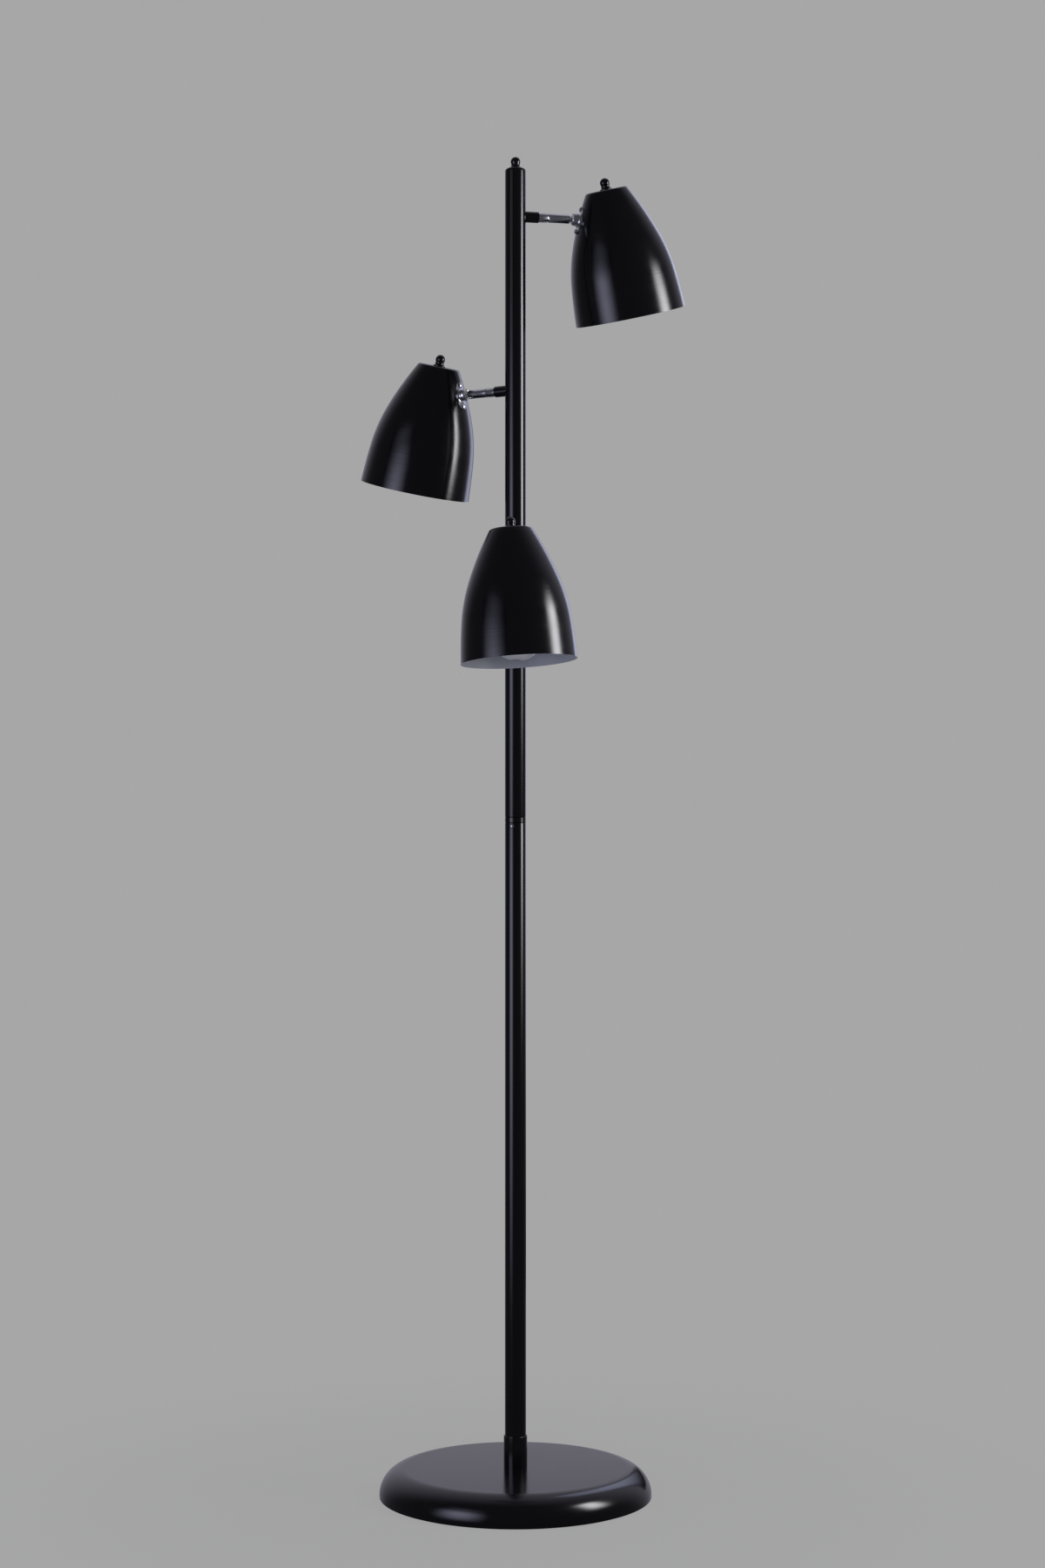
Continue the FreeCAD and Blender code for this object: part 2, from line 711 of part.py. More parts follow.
def bulb_glass():
    """The bulb's hollow glass: a straight neck, a concave flank and a round end, all tangent."""
    top = -bulb_seat_depth - bulb_cap_length
    neck_end = top - bulb_neck_length
    ball = -bulb_seat_depth - bulb_length + bulb_radius
    drop = neck_end - ball
    widening = bulb_radius - bulb_neck_radius
    # the flank's arc touches both the neck's line and the round end
    flank_radius = (drop ** 2 / widening - bulb_radius - bulb_neck_radius) / 2
    across = bulb_neck_radius + flank_radius
    flank_angle = math.degrees(math.atan2(across, drop))
    centre = at(across, neck_end)

    def outline(inset):
        flank = flank_radius + inset
        neck = bulb_neck_radius - inset
        round_end = bulb_radius - inset
        shoulder = centre - on_circle(flank, flank_angle)
        bend = centre - on_circle(flank, (flank_angle + 90) / 2)
        side = at(0, ball) + on_circle(round_end, (flank_angle + 180) / 2)
        low = at(0, ball - round_end)
        return turn([line(at(0, top), at(neck, top)), line(at(neck, top), at(neck, neck_end)),
                     arc(at(neck, neck_end), bend, shoulder), arc(shoulder, side, low),
                     line(low, at(0, top))])

    return outline(0).cut(outline(bulb_glass_wall))


# ---------------------------------------------------------------- build the stand
cover = base_cover()
write("base_cover", cover)
write("base_weight", base_weight())
write("base_pad", rod(pad_radius, 0, pad_thickness))
write("cord_grommet", cord_grommet(cover))
write("base_nipple", ring(nipple_radius, nipple_bore, nipple_bottom, nipple_top))
write("base_fasteners",
      ring(base_washer_radius, nipple_radius + thread_clearance, nut_top, washer_top),
      hex_nut(base_nut_flats, nipple_radius + thread_clearance, nut_bottom, nut_top))
write("base_collar", base_collar())
insert_bottom = base_height + insert_lift
write("tube_insert", ring(plug_radius, nipple_radius + thread_clearance, insert_bottom,
                          insert_bottom + insert_length))
screw_hole = moved(rod(coupler_screw_radius + thread_clearance, 0, pole_radius + overcut), screw_place)
write("lower_tube", lower_tube().cut(screw_hole))
write("pole_coupler", pole_coupler())
write("coupler_screw", coupler_screw())
write("upper_tube", upper_tube())
write("pole_cap", pole_cap())
on_cap = Placement(Vector(0, 0, cap_top_height), Rotation())
cap_thickness = cap_visible_height + cap_plug_length
write("pole_finial", moved(finial(), on_cap))
stud_low = -cap_thickness - stud_nut_thickness - stud_tail
write("pole_stud", *[moved(piece, on_cap) for piece in stud_and_nut(-cap_thickness, stud_low)])
write("arm_sleeves", *[arm_sleeve(name, azimuth) for name, azimuth, tilt, roll in heads])
write("arm_locknuts", *[arm_locknut(name, azimuth) for name, azimuth, tilt, roll in heads])

# ---------------------------------------------------------------- build the heads
head_pieces = {
    "shade": [shade()],
    "bracket": [bracket()],
    "ball_seat": [ball_seat()],
    "bracket_screws": bracket_screws(),
    "backing_plate": [backing_plate()],
    "finial": [finial()],
    "stud": stud_and_nut(-shade_wall - paint_gap, stud_end_gap - stud_room_depth),
    "lampholder": [lampholder()],
    "holder_contacts": holder_contacts(),
    "bulb_cap": [bulb_cap()],
    "bulb_glass": [bulb_glass()],
}
from_ball = Placement(-ball_frame.Base, Rotation())
along_neck = Placement(origin, Rotation(y_axis, -90))

for name, azimuth, tilt, roll in heads:
    write(name + "_arm_tube", arm_tube(name, azimuth))
    write(name + "_ball_stud", ball_stud(name, azimuth))
    at_ball = Placement(Vector(0, 0, arm_heights[name]), Rotation(z_axis, azimuth)).multiply(
        Placement(Vector(ball_reach, 0, 0), Rotation(x_axis, roll)))
    write(name + "_ball_liner", moved(ball_liner(), at_ball.multiply(along_neck)))
    at_head = at_ball.multiply(Placement(origin, Rotation(y_axis, -tilt))).multiply(from_ball)
    for piece, solids in head_pieces.items():
        write(name + "_" + piece, *[moved(solid, at_head) for solid in solids])

print("ball to shade axis", round(-ball_frame.Base.x, 3), "below its top", round(-ball_frame.Base.z, 3))
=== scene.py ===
# %% [markdown]
# # A floor lamp with three aimable heads
#
# The lamp stands on a weighted round base. A slim pole carries three short chrome arms, one above the
# other, and each arm ends in a ball that a bell-shaped spun metal shade is gripped to. The outside is gloss
# black paint, the inside of each shade is white.
#
# The CAD model gives every place and size. This lesson dresses it: turned pieces are spun again with smooth
# side lines, drilled and bent pieces are smoothed, and every surface gets a material.

# %% Load the frame
import bpy
import bmesh
import json
import math
from mathutils import Matrix, Vector


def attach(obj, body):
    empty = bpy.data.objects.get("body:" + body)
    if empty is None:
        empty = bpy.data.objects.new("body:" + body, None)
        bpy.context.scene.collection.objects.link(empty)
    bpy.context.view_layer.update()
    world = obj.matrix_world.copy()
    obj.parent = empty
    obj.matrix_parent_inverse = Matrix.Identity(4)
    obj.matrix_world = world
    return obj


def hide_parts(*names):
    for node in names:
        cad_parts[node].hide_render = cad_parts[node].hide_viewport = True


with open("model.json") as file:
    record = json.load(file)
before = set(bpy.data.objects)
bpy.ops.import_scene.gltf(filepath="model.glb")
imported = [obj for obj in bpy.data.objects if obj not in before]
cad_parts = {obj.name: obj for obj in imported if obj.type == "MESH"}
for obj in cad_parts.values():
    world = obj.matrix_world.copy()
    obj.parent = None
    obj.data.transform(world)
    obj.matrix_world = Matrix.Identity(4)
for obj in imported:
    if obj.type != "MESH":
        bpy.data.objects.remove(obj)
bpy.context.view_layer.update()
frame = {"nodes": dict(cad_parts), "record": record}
MM = 0.001

# %% [markdown]
# ## The camera
#
# The picture was taken from almost three metres away, at about half of the lamp's height, with the camera
# nearly level. A level camera keeps the pole upright. The lens is long, so the three heads barely change
# size with distance.

# %% Camera
camera = bpy.data.objects.new("camera", bpy.data.cameras.new("camera"))
bpy.context.scene.collection.objects.link(camera)
bpy.context.scene.camera = camera
lens_mm, pitch_degrees, camera_place = 64.18, 90.74, (0.0073, -2.917, 0.7027)
camera.data.lens = lens_mm
camera.data.clip_end = 50
camera.location = camera_place
camera.rotation_euler = (math.radians(pitch_degrees), 0, 0)
print("camera", round(-camera_place[1], 2), "m away,", round(camera_place[2], 2), "m up")

# %% [markdown]
# ## Helpers for materials
#
# A colour is written as a hex value, as a paint chart gives it, and one function turns it to the linear
# values that a shader needs. Another small function adds one node with its settings and its links.


# %% Material helpers
def linear(code):
    """The linear colour of an sRGB hex value such as "#a7a7a7"."""
    values = [int(code[i:i + 2], 16) / 255 for i in (1, 3, 5)]
    return tuple(v / 12.92 if v <= 0.04045 else ((v + 0.055) / 1.055) ** 2.4 for v in values) + (1.0,)


def add(tree, kind, settings=None, links=None):
    """Adds a node. settings holds properties and sockets' own values. links holds what feeds a socket, which is
    another node's first output or a named one."""
    node = tree.nodes.new(kind)
    for key, value in (settings or {}).items():
        if isinstance(key, str) and hasattr(node, key):
            setattr(node, key, value)
        else:
            node.inputs[key].default_value = value
    for key, source in (links or {}).items():
        output = source if isinstance(source, bpy.types.NodeSocket) else source.outputs[0]
        tree.links.new(output, node.inputs[key])
    return node


def new_material(name):
    """An empty node material and its tree, with a Principled shader on the output."""
    material = bpy.data.materials.new(name)
    material.use_nodes = True
    tree = material.node_tree
    tree.nodes.clear()
    shader = add(tree, "ShaderNodeBsdfPrincipled")
    add(tree, "ShaderNodeOutputMaterial", links={"Surface": shader.outputs[0]})
    return material, tree, shader


def grain(tree, size_mm, detail=2.0):
    """Noise with grains of a real size, on the piece's own coordinates."""
    place = add(tree, "ShaderNodeTexCoord").outputs["Object"]
    return add(tree, "ShaderNodeTexNoise", {"Scale": 1 / (size_mm * MM), "Detail": detail}, {"Vector": place})


def finish(tree, shader, tone=None, rough=None, cloud=None, fine=None, depth_mm=0.0):
    """Ties patterns to a shader: cloud drifts the colour and the roughness, fine raises the surface."""
    if tone:
        mixed = add(tree, "ShaderNodeMix", {"data_type": "RGBA", 6: linear(tone[0]), 7: linear(tone[1])},
                    {0: cloud})
        tree.links.new(mixed.outputs[2], shader.inputs["Base Color"])
    if rough:
        drift = add(tree, "ShaderNodeMapRange", {"To Min": rough[0], "To Max": rough[1]}, {"Value": cloud})
        tree.links.new(drift.outputs[0], shader.inputs["Roughness"])
    if fine:
        raised = add(tree, "ShaderNodeBump", {"Strength": 1.0, "Distance": depth_mm * MM}, {"Height": fine})
        tree.links.new(raised.outputs[0], shader.inputs["Normal"])


# %% [markdown]
# ## Gloss black paint
#
# The base and the pole are steel with a sprayed and baked gloss enamel. It is almost black, slightly cool,
# and it flows out to a shine with a very faint orange peel a few millimetres across, so its highlights have
# soft, slightly uneven edges. Such paint is one clear resin skin over dark pigment, so one smooth
# dielectric layer over a dark colour is enough, and an IOR of 1.5 is usual for the resin.

# %% Gloss black enamel on steel
black, resin_ior = "#08070b", 1.5
enamel, tree, shader = new_material("gloss_black_baked_enamel")
shader.inputs["Base Color"].default_value = linear(black)
shader.inputs["IOR"].default_value = resin_ior
finish(tree, shader, rough=(0.13, 0.21), cloud=grain(tree, 60.0, detail=3), fine=grain(tree, 4.0), depth_mm=0.0015)

# %% [markdown]
# ## Spun black shade
#
# A shade is spun: a flat disc is pressed over a turning former with a roller. The roller leaves fine rings
# round the piece, and the paint over them keeps a trace that breaks the edges of the highlights. The rings
# follow the side line, so the pattern reads the piece's UV map, whose V is the distance along that line in
# metres. Real rings are about half a millimetre apart. They are drawn 1.9 mm apart, because finer ones
# wouldn't show in a picture of the whole lamp. Broader bands of 14 mm, where the roller pressed harder,
# make them come and go.

# %% Gloss black enamel over spinning rings
spun_black, tree, shader = new_material("gloss_black_enamel_over_spun_steel")
shader.inputs["Base Color"].default_value = linear(black)
shader.inputs["IOR"].default_value = resin_ior
ring_mm, band_mm = 1.9, 14
side = add(tree, "ShaderNodeUVMap", {"uv_map": "side_line"})
along = add(tree, "ShaderNodeMapping", {"Scale": (0.0, 1.0, 0.0)}, {"Vector": side})
rings = add(tree, "ShaderNodeTexNoise", {"Scale": 1 / (ring_mm * MM), "Detail": 2.0, "Roughness": 0.5},
            {"Vector": along})
bands = add(tree, "ShaderNodeTexNoise", {"Scale": 1 / (band_mm * MM), "Detail": 1.0}, {"Vector": along})
pressed = add(tree, "ShaderNodeMath", {"operation": "MULTIPLY"}, {0: rings, 1: bands})
finish(tree, shader, rough=(0.13, 0.22), cloud=bands, fine=pressed, depth_mm=0.13)

# %% [markdown]
# ## White lining
#
# The inside of a shade is sprayed white so that it throws the light out. It is a satin paint, a little
# uneven where the spray gun could not reach, with the same rings under it. Its colours here are a pale grey
# rather than white: painted shade for the dim inside of the bell.

# %% Satin white enamel
lining, tree, shader = new_material("satin_white_lining_greyed_as_painted_shade")
# pale grey instead of white: painted shade for the inside of the bell
finish(tree, shader, ("#b9bcc4", "#c6c9d0"), (0.38, 0.46), grain(tree, 18.0, detail=3), grain(tree, 1.2), 0.006)

# %% [markdown]
# ## Chrome
#
# Arms, balls, brackets and their screws are nickel and chrome plated steel. Plating keeps the polishing
# marks under it, which blur the reflection a little, here more and there less. The colour is a cool silver.

# %% Chrome plate
chrome, tree, shader = new_material("chrome_plated_steel")
shader.inputs["Base Color"].default_value = linear("#d5d6da")
shader.inputs["Metallic"].default_value = 1.0
finish(tree, shader, rough=(0.14, 0.26), cloud=grain(tree, 9.0, detail=3), fine=grain(tree, 0.8), depth_mm=0.0015)

# %% [markdown]
# ## The plain metals inside
#
# Nuts, studs and the nipple are zinc plated: greyer and duller than chrome, with a crystalline bloom. The
# weight is rough cast iron, whose sand-cast skin scatters light and shows some oxide, so it is only partly
# metallic. The contacts are rolled brass, and the bulb's cap is bare aluminium. All are made alike, so one
# function makes them.


# %% Zinc, iron, brass and aluminium
def metal(name, colours, rough, bloom_mm, depth_mm, metallic=1.0):
    """A bare or plated metal: two colours that drift, a range of roughness and a fine surface."""
    material, tree, shader = new_material(name)
    shader.inputs["Metallic"].default_value = metallic
    finish(tree, shader, colours, rough, grain(tree, bloom_mm, detail=3), grain(tree, bloom_mm / 6), depth_mm)
    return material


zinc = metal("bright_zinc_plated_steel", ("#b3b6ba", "#c6c8ca"), (0.24, 0.38), 4.0, 0.003)
iron = metal("sand_cast_iron", ("#3a3938", "#4a4846"), (0.55, 0.75), 5.0, 0.08, metallic=0.6)
brass = metal("rolled_brass", ("#c8a86a", "#d6b877"), (0.22, 0.34), 6.0, 0.002)
cap_metal = metal("drawn_aluminium", ("#c9cacb", "#d8d9da"), (0.25, 0.36), 5.0, 0.003)


# %% [markdown]
# ## Rubber, foam and mouldings
#
# The bush for the cord is moulded rubber, the pad under the base is a foam that scatters nearly all light,
# the balls' liners are natural nylon, which is a warm off-white, and the lampholders are a hard white
# thermoset with a clean sheen.

# %% Rubber, foam, nylon and the lampholder's moulding
def moulded(name, colours, rough, grain_mm, depth_mm):
    """A moulded plastic or rubber: two close colours, a soft sheen and a fine moulded grain."""
    material, tree, shader = new_material(name)
    shader.inputs["IOR"].default_value = resin_ior
    finish(tree, shader, colours, rough, grain(tree, grain_mm * 12, detail=3), grain(tree, grain_mm), depth_mm)
    return material


rubber = moulded("moulded_black_rubber", ("#17171a", "#1f1f22"), (0.55, 0.7), 0.5, 0.01)
foam = moulded("black_eva_foam", ("#1b1b1d", "#242427"), (0.75, 0.9), 1.0, 0.05)
nylon = moulded("natural_nylon", ("#d9d5c8", "#e4e0d4"), (0.38, 0.48), 0.6, 0.004)
holder_white = moulded("white_thermoset_moulding", ("#e4e2dc", "#eeece6"), (0.28, 0.36), 0.8, 0.004)

# %% [markdown]
# ## Bulb glass
#
# The bulb's glass is etched inside, so it hides the filament and glows an even white when lit. Unlit it is
# a white skin that still shines on its smooth outside, which is the coat here. Towards the tip it turns grey:
# that grey is a painted dark reflection at the bulb's bottom. The tip is found by the distance along the side
# line from the neck, in metres.

# %% Etched glass
glass, tree, shader = new_material("inside_etched_bulb_glass")
glass_ior, painted_reflection_from, painted_reflection_to = 1.5, 0.104, 0.118
shader.inputs["IOR"].default_value = glass_ior
shader.inputs["Transmission Weight"].default_value = 0.1
from_neck = add(tree, "ShaderNodeSeparateXYZ", links={0: add(tree, "ShaderNodeUVMap", {"uv_map": "side_line"})})
tip = add(tree, "ShaderNodeMapRange", {"From Min": painted_reflection_from, "From Max": painted_reflection_to, "interpolation_type": "SMOOTHSTEP"},
          {"Value": from_neck.outputs[1]})
# the second colour, grey towards the tip, is a painted dark reflection, not a colour of the glass
finish(tree, shader, tone=("#fafafc", "#8c8f97"), cloud=tip)
finish(tree, shader, rough=(0.10, 0.20), cloud=grain(tree, 0.6))
shader.inputs["Coat Weight"].default_value = 1.0
shader.inputs["Coat Roughness"].default_value = 0.04

# %% [markdown]
# ## A lathe made of Geometry Nodes
#
# Nearly every piece of this lamp is turned or spun: its whole shape is one side line carried round an axis.
# The tree below is that lathe. It takes a chain of points drawn from the axis outwards, lays a grid over it
# with one column for each step round, and moves every grid point to its place on the circle. Because a grid
# knows its own rows and columns, the UV map comes for nothing. The seam is then welded.


# %% The lathe
def lathe_tree():
    """Spins a side line round the Z axis. Rows that follow the lining row get the second material."""
    tree = bpy.data.node_groups.new("spin_a_side_line", "GeometryNodeTree")
    face = tree.interface
    face.new_socket("Side line", in_out="INPUT", socket_type="NodeSocketGeometry")
    for name, kind, value in (("Steps round", "NodeSocketInt", 96), ("Lining from row", "NodeSocketInt", 9999)):
        face.new_socket(name, in_out="INPUT", socket_type=kind).default_value = value
    for name in ("Outer finish", "Lining finish"):
        face.new_socket(name, in_out="INPUT", socket_type="NodeSocketMaterial")
    face.new_socket("Turned piece", in_out="OUTPUT", socket_type="NodeSocketGeometry")
    given = tree.nodes.new("NodeGroupInput").outputs
    side = given["Side line"]

    counted = add(tree, "GeometryNodeAttributeDomainSize", {"component": "MESH"}, {"Geometry": side})
    rows = counted.outputs["Point Count"]
    columns = add(tree, "ShaderNodeMath", {"operation": "ADD", 1: 1.0}, {0: given["Steps round"]})
    grid = add(tree, "GeometryNodeMeshGrid", {"Size X": 1.0, "Size Y": 1.0},
               {"Vertices X": columns, "Vertices Y": rows})
    chart = add(tree, "ShaderNodeSeparateXYZ", links={0: grid.outputs["UV Map"]})
    last = add(tree, "ShaderNodeMath", {"operation": "SUBTRACT", 1: 1.0}, {0: rows})
    level = add(tree, "ShaderNodeMath", {"operation": "MULTIPLY"}, {0: chart.outputs[1], 1: last})
    row = add(tree, "ShaderNodeMath", {"operation": "ROUND"}, {0: level})
    angle = add(tree, "ShaderNodeMath", {"operation": "MULTIPLY", 1: math.tau}, {0: chart})
    place = add(tree, "GeometryNodeInputPosition")
    point = add(tree, "GeometryNodeSampleIndex", {"data_type": "FLOAT_VECTOR"},
                {"Geometry": side, "Value": place, "Index": row})
    corner = add(tree, "ShaderNodeSeparateXYZ", links={0: point})
    cosine = add(tree, "ShaderNodeMath", {"operation": "COSINE"}, {0: angle})
    sine = add(tree, "ShaderNodeMath", {"operation": "SINE"}, {0: angle})
    across = add(tree, "ShaderNodeMath", {"operation": "MULTIPLY"}, {0: corner, 1: cosine})
    away = add(tree, "ShaderNodeMath", {"operation": "MULTIPLY"}, {0: corner, 1: sine})
    spun = add(tree, "ShaderNodeCombineXYZ", links={0: across, 1: away, 2: corner.outputs[2]})
    moved = add(tree, "GeometryNodeSetPosition", links={"Geometry": grid, "Position": spun})
    run = add(tree, "GeometryNodeInputNamedAttribute", {"data_type": "FLOAT", "Name": "along"})
    length = add(tree, "GeometryNodeSampleIndex", {"data_type": "FLOAT"},
                 {"Geometry": side, "Value": run, "Index": row})
    flat = add(tree, "ShaderNodeCombineXYZ", links={0: chart, 1: length})
    mapped = add(tree, "GeometryNodeStoreNamedAttribute",
                 {"data_type": "FLOAT2", "domain": "CORNER", "Name": "side_line"},
                 {"Geometry": moved, "Value": flat})
    inside = add(tree, "FunctionNodeCompare", {"data_type": "FLOAT", "operation": "GREATER_THAN"},
                 {"A": level, "B": given["Lining from row"]})
    outer = add(tree, "GeometryNodeSetMaterial", links={"Geometry": mapped, "Material": given["Outer finish"]})
    inner = add(tree, "GeometryNodeSetMaterial",
                links={"Geometry": outer, "Selection": inside, "Material": given["Lining finish"]})
    weld = add(tree, "GeometryNodeMergeByDistance", {"Distance": 0.00001}, {"Geometry": inner})
    real = add(tree, "GeometryNodeRealizeInstances", links={0: weld})
    add(tree, "NodeGroupOutput", links={0: real})
    return tree


lathe = lathe_tree()
print("lathe nodes", len(lathe.nodes))


# %% [markdown]
# ## From a side line to a piece
#
# A tree runs as a modifier on a seed object, and its result is kept as a plain mesh, which is what leaves
# Blender well. Then seams are closed and the piece is smoothed everywhere but at its sharp corners, moved
# to its place with its mesh, so that the object itself stays unturned at the origin, and tied to the body
# that carries it.

# %% Using a tree on a piece
def set_input(modifier, name, value):
    """Sets a modifier's input by its socket's identifier."""
    for item in modifier.node_group.interface.items_tree:
        if item.item_type == "SOCKET" and item.in_out == "INPUT" and item.name == name:
            modifier[item.identifier] = value
            return
    raise KeyError(name)


def grown(name, mesh, tree, inputs):
    """Runs a Geometry Nodes tree on a mesh and keeps the result as a plain mesh object."""
    seed = bpy.data.objects.new(name + "_seed", mesh)
    bpy.context.scene.collection.objects.link(seed)
    modifier = seed.modifiers.new("grow", "NODES")
    modifier.node_group = tree
    for key, value in inputs.items():
        set_input(modifier, key, value)
    bpy.context.view_layer.update()
    graph = bpy.context.evaluated_depsgraph_get()
    result = bpy.data.meshes.new_from_object(seed.evaluated_get(graph), depsgraph=graph)
    seed.modifiers.remove(modifier)
    bpy.data.objects.remove(seed)
    result.name = name
    piece = bpy.data.objects.new(name, result)
    bpy.context.scene.collection.objects.link(piece)
    return piece


def tidy(mesh, sharp_degrees=35):
    """Closes seams, points every face outwards and smooths all but the sharp edges."""
    work = bmesh.new()
    work.from_mesh(mesh)
    bmesh.ops.remove_doubles(work, verts=work.verts, dist=0.000002)
    bmesh.ops.recalc_face_normals(work, faces=work.faces)
    for part in work.faces:
        part.smooth = True
    for edge in work.edges:
        edge.smooth = len(edge.link_faces) != 2 or edge.calc_face_angle(0) < math.radians(sharp_degrees)
    work.to_mesh(mesh)
    work.free()


def turned(name, points, body, nodes, coat, place=None, steps=96, lining=None, lining_row=9999):
    """Spins a side line of (radius, height) in mm, puts it in place and lets it stand for its CAD nodes."""
    chain = bpy.data.meshes.new(name + "_side_line")
    chain.from_pydata([(max(r, 0) * MM, 0, z * MM) for r, z in points],
                      [(i, i + 1) for i in range(len(points) - 1)], [])
    run = chain.attributes.new("along", "FLOAT", "POINT")
    total = 0.0
    for i, (r, z) in enumerate(points):
        total += math.dist(points[i - 1], (r, z)) * MM if i else 0.0
        run.data[i].value = total
    piece = grown(name, chain, lathe, {"Steps round": steps, "Lining from row": lining_row,
                                       "Outer finish": coat, "Lining finish": lining or coat})
    tidy(piece.data)
    if place is not None:
        piece.data.transform(place)
    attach(piece, body)
    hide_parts(*nodes)
    return piece


def arc(centre, radius, start, end, steps=8):
    """Points of an arc, angles in degrees up from the outward direction."""
    angles = [math.radians(start + (end - start) * i / steps) for i in range(steps + 1)]
    return [(centre[0] + radius * math.cos(a), centre[1] + radius * math.sin(a)) for a in angles]


# %% [markdown]
# ## The base
#
# The base is a pressed steel cover with a generous rolled edge over a cast iron weight. Its top is flat, so
# it mirrors what stands behind it, and the roll gathers the whole room into a few small highlights. Its
# side line runs along the top, round the roll, under the hem and back inside, and 160 steps round keep so
# wide a piece smooth.

# %% Base cover
base_radius, base_height, roll, cover_wall, hem, nipple_hole = 141.4, 30.0, 27.0, 1.5, 1.0, 5.05
bend = (base_radius - roll, base_height - roll)
cover_line = ([(nipple_hole, base_height)] + arc(bend, roll, 90, 0, 24)
              + [(base_radius, hem), (base_radius - cover_wall, hem)] + arc(bend, roll - cover_wall, 0, 90, 24)
              + [(nipple_hole, base_height - cover_wall), (nipple_hole, base_height)])
cover = turned("base_cover_spun", cover_line, "stand", ["base_cover"], enamel, steps=160)
print("base cover faces", len(cover.data.polygons))

# %% [markdown]
# ## The pole
#
# Two tubes meet at a coupler whose band shows between them, and a short collar hides the joint with the
# base. Each tube's end is lightly rounded, which catches a bright line just above and below the band. The
# arms' sleeves cover the holes in the upper tube, so it is spun whole.

# %% Pole pieces
pole, tube_wall, joint, band, cap_top = 11.0, 1.2, 699.7, 6.0, 1384.4
inner = pole - tube_wall


def rounded_end(radius, height, size, up=True, steps=4):
    """The small round of a tube's end, at its top or its foot."""
    if up:
        return arc((radius - size, height - size), size, 0, 90, steps)
    return arc((radius - size, height + size), size, -90, 0, steps)


slip, collar_wall, tube_edge, cap_shows = 0.05, 1.15, 0.4, 4.5
collar_top = base_height + 33
collar_bore, collar_radius = pole + slip, pole + slip + collar_wall
collar_line = ([(collar_bore, base_height), (collar_radius, base_height)]
               + rounded_end(collar_radius, collar_top, 0.6) + [(collar_bore, collar_top), (collar_bore, base_height)])
turned("base_collar_turned", collar_line, "stand", ["base_collar"], enamel)
lower_line = ([(inner, base_height), (pole, base_height)] + rounded_end(pole, joint, tube_edge)
              + [(inner, joint), (inner, base_height)])
turned("lower_tube_drawn", lower_line, "stand", ["lower_tube"], enamel)
upper_start, upper_end = joint + band, cap_top - cap_shows
upper_line = ([(inner, upper_start)] + rounded_end(pole, upper_start, tube_edge, up=False)
              + [(pole, upper_end), (inner, upper_end), (inner, upper_start)])
turned("upper_tube_drawn", upper_line, "stand", ["upper_tube"], enamel)

# %% [markdown]
# ## Copies of CAD pieces
#
# Some pieces are not turned: the coupler, the sleeves whose feet are hollowed to the pole, the bent
# brackets. Their CAD solids have the right shape, but they come as loose flat triangles. A copy is welded
# and smoothed, so that light runs over it evenly, and the copy stands for the CAD piece.


# %% Welded copies
body_of = {node: body for body, nodes in frame["record"]["behaviour"]["bodies"].items() for node in nodes}
slot_of = {part["node"]: part["material_slot"] for part in frame["record"]["subparts"]}


def welded(node, coat, sharp_degrees=30):
    """A smooth copy of a CAD node, with its material."""
    piece = bpy.data.objects.new(node + "_welded", frame["nodes"][node].data.copy())
    bpy.context.scene.collection.objects.link(piece)
    work = bmesh.new()
    work.from_mesh(piece.data)
    bmesh.ops.remove_doubles(work, verts=work.verts, dist=0.000003)
    bmesh.ops.dissolve_degenerate(work, edges=work.edges, dist=0.000002)
    for part in work.faces:
        part.smooth = True
    for edge in work.edges:
        edge.smooth = len(edge.link_faces) == 2 and edge.calc_face_angle(0) < math.radians(sharp_degrees)
    work.to_mesh(piece.data)
    work.free()
    piece.data.materials.clear()
    piece.data.materials.append(coat)
    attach(piece, body_of[node])
    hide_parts(node)
    return piece


for node, coat in (("arm_sleeves", enamel), ("pole_coupler", enamel),
                   ("cord_grommet", rubber), ("coupler_screw", chrome)):
    welded(node, coat)

# %% [markdown]
# ## The pole's cap
#
# A turned cap closes the pole: its plug goes down into the tube, and what shows is a low disc with a
# rounded shoulder.

# %% Cap
stud_hole, plug_radius, plug_foot, cap_shoulder = 3.05, inner - slip, cap_top - 16.5, 3.0
cap_line = ([(stud_hole, plug_foot), (plug_radius, plug_foot), (plug_radius, upper_end), (pole, upper_end)]
            + rounded_end(pole, cap_top, cap_shoulder, steps=10) + [(stud_hole, cap_top), (stud_hole, plug_foot)])
turned("pole_cap_turned", cap_line, "stand", ["pole_cap"], enamel)

# %% [markdown]
# ## Ball-topped cap nuts
#
# The pole and every shade end in the same small cap nut: a flared foot, a waist and a ball. One side line
# serves all four of them.

# %% Cap nuts
foot, foot_high, waist, waist_high, ball, tall, thread_deep, edge = 6.5, 0.9, 4.6, 3.4, 5.15, 12.3, 8.5, 0.2
ball_centre = tall - ball
neck_angle = -math.degrees(math.acos(waist / ball))
sweep = [math.pi / 2 * i / 8 for i in range(9)]
flare = [(foot - (foot - waist) * math.sin(a), foot_high + (waist_high - foot_high) * (1 - math.cos(a))) for a in sweep]
nut_line = ([(stud_hole, 0), (foot - edge, 0), (foot, edge), *flare] + arc((0, ball_centre), ball, neck_angle, 90, 20)
            + [(0, thread_deep), (stud_hole, thread_deep), (stud_hole, 0)])
turned("pole_cap_nut", nut_line, "stand", ["pole_finial"], enamel,
       Matrix.Translation((0, 0, cap_top * MM)), steps=64)

# %% [markdown]
# ## Where each head sits
#
# An arm points away from the pole at its own angle. The head turns about the ball at the arm's end: it may
# roll about the arm and tilt outwards. Three turns one after the other give each head its place, and they
# are the same turns that the CAD model uses.


# %% Head places
def turn(degrees, axis):
    """A turn about X, Y or Z."""
    return Matrix.Rotation(math.radians(degrees), 4, axis)


